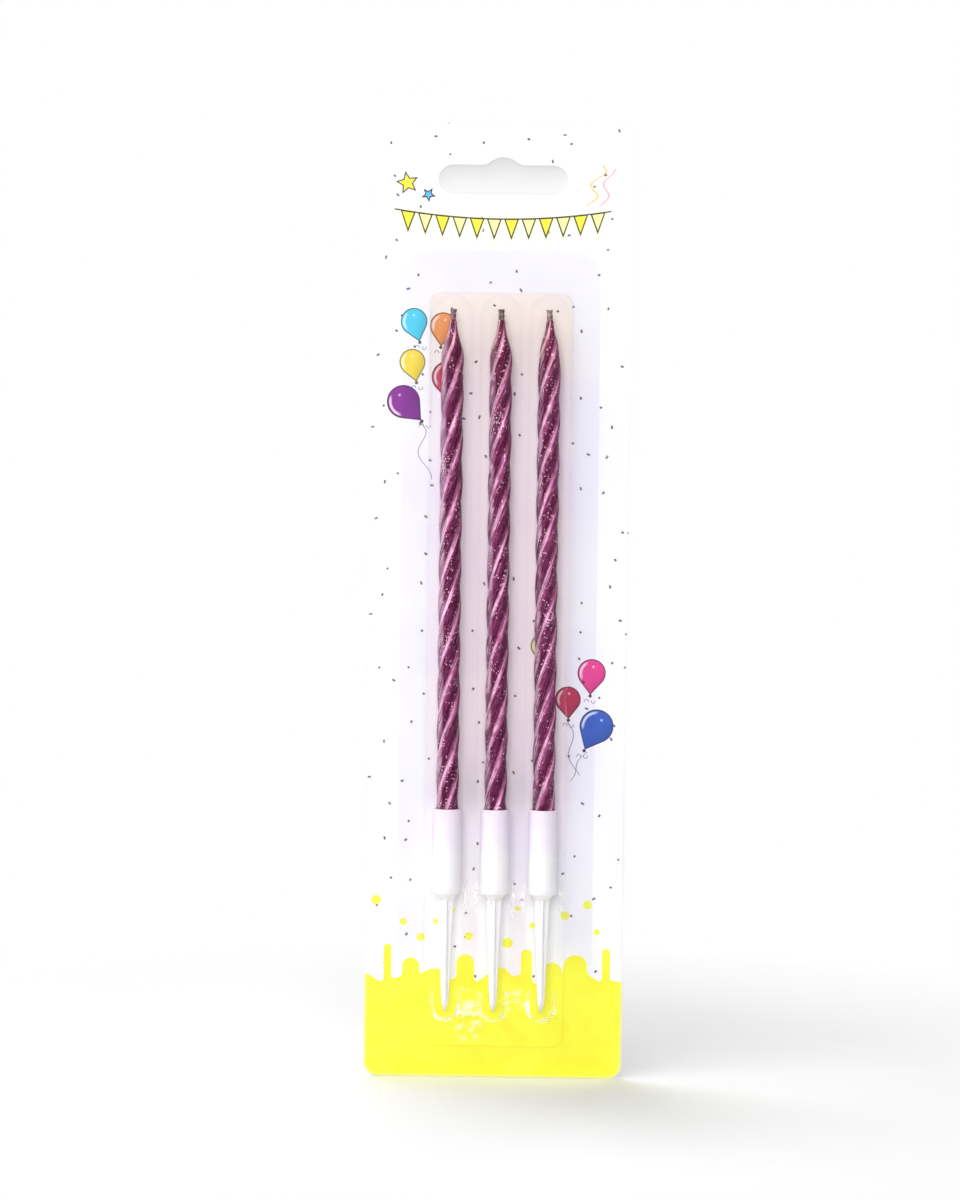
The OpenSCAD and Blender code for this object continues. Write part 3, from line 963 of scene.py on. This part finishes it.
def grid_lines(marks):
    """Lines across and up for the grid between the tray's corners, closer together where the form bends."""
    xs = []
    for centre in marks["centres"]:
        for radius in (CHANNEL_R, PICK_CHANNEL_R):
            xs += list(centre + radius * np.cos(np.radians(np.arange(2, 180, 5))))
        for beside in (0.2, 0.45):
            xs += [centre - CHANNEL_R - beside, centre + CHANNEL_R + beside]
    head, foot, ledge_foot, ledge_top = (marks[key] for key in ("head", "foot", "ledge_foot", "ledge_top"))
    low, high, end = marks["corner_low"], marks["corner_high"], foot - PICK_CHANNEL_R
    zs = list(head + CHANNEL_R * np.sin(np.radians(np.arange(0, 90, 4)))) + list(head - np.arange(0.4, 3, 0.5))
    zs += list(foot - PICK_CHANNEL_R * np.sin(np.radians(np.arange(0, 95, 5))))
    for start, stop, step in (
        (ledge_foot - 0.8, ledge_top + 0.8, 0.18), (end - 1.5, end, 0.25), (foot, ledge_foot, 1.5),
        (ledge_top + 1.5, head, 2.0), (low, end - 1.5, 0.7),
    ):
        zs += list(np.arange(start, stop, step))
    return spaced(xs, -marks["corner_x"], marks["corner_x"]), spaced(zs, low, high)


def grid_border(xs, zs):
    """The grid's border, anticlockwise: places, the ways out from them, and the grid points that they meet.

    At a corner the place and its grid point stay, while the way out swings through a right angle.
    """
    nx, nz = len(xs), len(zs)
    swing = list(np.linspace(0, 90, 15)[1:-1])
    runs = (
        (-90, [(i, 0) for i in range(nx)]),
        (0, [(nx - 1, k) for k in range(nz)]),
        (90, [(i, nz - 1) for i in reversed(range(nx))]),
        (180, [(0, k) for k in reversed(range(nz))]),
    )
    places, outward, meets = [], [], []
    for way, run in runs:
        for (i, k), more in zip(run + run[-1:] * len(swing), [0] * len(run) + swing):
            t = math.radians(way + more)
            places.append((xs[i], zs[k]))
            outward.append((math.cos(t), math.sin(t)))
            meets.append(k * nx + i)
    return np.array(places), np.array(outward), meets


def flange_outline(border, outward, half, foot, top):
    """The flange's outline, point for point along the border."""
    (x, z), (out_x, out_z) = border.T, outward.T
    r, straight = FLANGE_CORNER_R, 1e-9
    return np.stack([
        np.where(np.abs(out_x) < straight, x, np.sign(out_x) * (half - r) + r * out_x),
        np.where(np.abs(out_z) < straight, z, np.where(out_z > 0, top - r, foot + r) + r * out_z),
    ], -1)


def make_blister(material):
    """The blister as one even sheet: flange, soft foot fillet, leaning wall, level and the three stepped channels."""
    low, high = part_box("blister_shell")
    marks = blister_marks()
    xs, zs = grid_lines(marks)
    nx, nz = len(xs), len(zs)
    border, outward, meets = grid_border(xs, zs)
    around = len(border)

    # Rings outward from the border: closer together on the wall's bends than on the level
    side_arc = BUBBLE_HALF_W - max(marks["centres"]) - CHANNEL_R * np.cos(np.radians(np.arange(6, 90, 4)))
    insets = np.concatenate([wall_profile()[:, 0], side_arc, [0.45, 0.6, 2.2, 2.6, 3.0]])
    kept = []
    for inset in sorted(insets[insets < BUBBLE_CORNER_R - 0.1], reverse=True):
        if not kept or kept[-1] - inset > (0.012 if inset < 0.42 else 0.07):
            kept.append(inset)
    rings = [border + outward * (BUBBLE_CORNER_R - inset) for inset in kept]
    last = rings[-1]
    outline = flange_outline(border, outward, high.x / MM, low.z / MM, high.z / MM)
    rings += [last + (outline - last) * share for share in (0.15, 0.4, 0.7, 0.9, 1.0)]

    grid = np.stack([line.ravel() for line in np.meshgrid(xs, zs)], -1)
    x, z = np.concatenate([grid] + rings).T
    faces = [(k * nx + i, k * nx + i + 1, (k + 1) * nx + i + 1, (k + 1) * nx + i)
             for k in range(nz - 1) for i in range(nx - 1)]
    rows = [meets] + [range(nx * nz + n * around, nx * nz + (n + 1) * around) for n in range(len(rings))]
    for near, far in zip(rows, rows[1:]):
        for j in range(around):
            q = (j + 1) % around
            corner = near[j] == near[q]
            faces.append((near[j], far[j], far[q]) if corner else (near[j], far[j], far[q], near[q]))
    points = np.stack([x, -form_height(x, z, marks), z], -1)
    blister = add_mesh("formed_blister", points, faces, material, "blister",
                       (0, high.y / MM, 0), sharp=60)
    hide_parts("blister_shell")


# Stage, light and camera

def seen_by_eye(m):
    """1 for rays of the camera, and for those that a gloss or a glass sends on."""
    path = m.node("LightPath").outputs
    camera, glossy, through = (m.number(path[f"Is {kind} Ray"]) for kind in ("Camera", "Glossy", "Transmission"))
    return camera.most(glossy).most(through)


def make_floor(height):
    """A pale floor that shows white where no shadow falls on it."""
    bpy.ops.mesh.primitive_plane_add(size=8, location=(0, 0, height))
    floor = bpy.context.object
    floor.name = "floor"
    m = Sheet("floor_white")
    x, y, z = m.object_mm()
    speckle = m.noise(m.vector(x, y, z), 0.02, detail=2)
    matt = m.shader("BsdfDiffuse", Color=m.mix(speckle, (243, 243, 243), (246, 246, 246)))
    shadows_end, white_from = 120.0, 230.0
    far = m.blend(ramp(length(x, y), shadows_end, white_from), matt, m.shader("Emission"))
    floor.data.materials.append(m.ends(m.blend(seen_by_eye(m), matt, far)))


def make_slot_backdrop():
    """A small pale sheet behind the hang slot, so that the slot shows with a soft shade in it, partly real shade and
    partly painted into its glow.
    """
    width, height, centre_z = 0.044, 0.0175, -0.0028
    bpy.ops.mesh.primitive_plane_add(size=1, location=(0, 0.0011, centre_z), rotation=(math.pi / 2, 0, 0))
    sheet = bpy.context.object
    sheet.name = "slot_backdrop"
    sheet.scale = (width, height, 1)
    m = Sheet("slot_backdrop_white")
    x, y, z = m.object_mm()
    matt = m.shader("BsdfDiffuse", Color=m.mix(m.noise(m.vector(x, y, z), 0.5), (228, 228, 228), (232, 232, 232)))
    over_mount = y * height + centre_z / MM
    # Painted shade: the glow is greyer towards the top of the slot
    glow = m.shader("Emission", Color=m.mix(ramp(over_mount, -8.0, -1.6), WHITE, (226, 227, 228)))
    front = 1.0 - m.number(m.node("NewGeometry").outputs["Backfacing"])
    pale = m.blend(0.66, matt, glow)
    sheet.data.materials.append(m.ends(m.blend(seen_by_eye(m) * front, m.shader("BsdfTransparent"), pale)))


def make_world():
    """White where it is seen, and a much softer white where it lights the pack."""
    world = bpy.data.worlds.new("studio")
    bpy.context.scene.world = world
    world.use_nodes = True
    m = Tree(world.node_tree)
    m.tree.nodes.clear()
    lit = m.shader("Background", Color=WHITE, Strength=0.03)
    shown = m.shader("Background", Color=WHITE, Strength=1.0)
    m.link(m.blend(seen_by_eye(m), lit, shown), m.node("OutputWorld").inputs[0])


STUDIO_AIM = Vector((0, 0, -0.14))

# The photograph's size, its optical axis and its focal length in pixels, and how far off it was taken in metres
PHOTO_W, PHOTO_H = 960, 1200
AXIS_PX = (498.08, 603.55)
FOCAL_PX = 4037.8
CAMERA_DISTANCE = 1.0


def direction(azimuth, elevation):
    """A way from the pack: degrees from the front towards the right, and degrees up."""
    a, e = math.radians(azimuth), math.radians(elevation)
    return Vector((math.sin(a) * math.cos(e), -math.cos(a) * math.cos(e), math.sin(e)))


def add_lamp(name, azimuth, elevation, distance, size, power):
    """A soft lamp that looks at the pack, with its distance and size in metres and its power in watts."""
    lamp = bpy.data.lights.new(name, "AREA")
    lamp.shape = "RECTANGLE"
    lamp.size, lamp.size_y = size
    lamp.energy = power
    obj = bpy.data.objects.new(name, lamp)
    way = direction(azimuth, elevation)
    obj.location = STUDIO_AIM + way * distance
    obj.rotation_euler = (-way).to_track_quat("-Z", "Y").to_euler()
    bpy.context.scene.collection.objects.link(obj)


def make_camera():
    """The photograph's view: a long lens, a little above the middle and to the right, and rolled a little."""
    data = bpy.data.cameras.new("camera")
    camera = bpy.data.objects.new("camera", data)
    bpy.context.scene.collection.objects.link(camera)
    bpy.context.scene.camera = camera
    back = direction(0.6, 3.4)
    camera.location = Vector((0, 0, CARD_MID * MM)) + back * CAMERA_DISTANCE
    right = Vector((0, 0, 1)).cross(back).normalized()
    up = back.cross(right)
    rolled = Matrix.Rotation(math.radians(0.734), 3, back)
    camera.rotation_euler = Matrix((rolled @ right, rolled @ up, back)).transposed().to_euler()
    data.sensor_fit = "VERTICAL"
    data.sensor_height = 36
    data.lens = FOCAL_PX / PHOTO_H * data.sensor_height
    data.shift_x = (PHOTO_W / 2 - AXIS_PX[0]) / PHOTO_H
    data.shift_y = (AXIS_PX[1] - PHOTO_H / 2) / PHOTO_H
    data.dof.use_dof = False
    data.clip_start, data.clip_end = 0.01, 20


# The pack

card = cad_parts["backing_card"]
for place in card.material_slots:
    place.material = card_material()
plastic = holder_material()
for side in SIDES:
    make_candle(side, wax_material(side))
    make_wick(side, wick_material(side))
    make_holder(side, plastic)
make_blister(film_material())

make_camera()
make_world()
make_floor(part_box("backing_card")[0].z - 0.0001)
make_slot_backdrop()
add_lamp("key", -5, 26, 2.5, (1.4, 1.4), 34)
add_lamp("side_key", -42, 57, 2.5, (1.1, 1.1), 22)
add_lamp("strip", -72, 8, 0.9, (0.14, 0.4), 1.5)
add_lamp("back", -150, 75, 1.4, (0.45, 0.45), 11)
add_lamp("back_fill", 165, 5, 1.4, (0.3, 0.3), 4.5)
bpy.context.scene.view_settings.view_transform = "Standard"
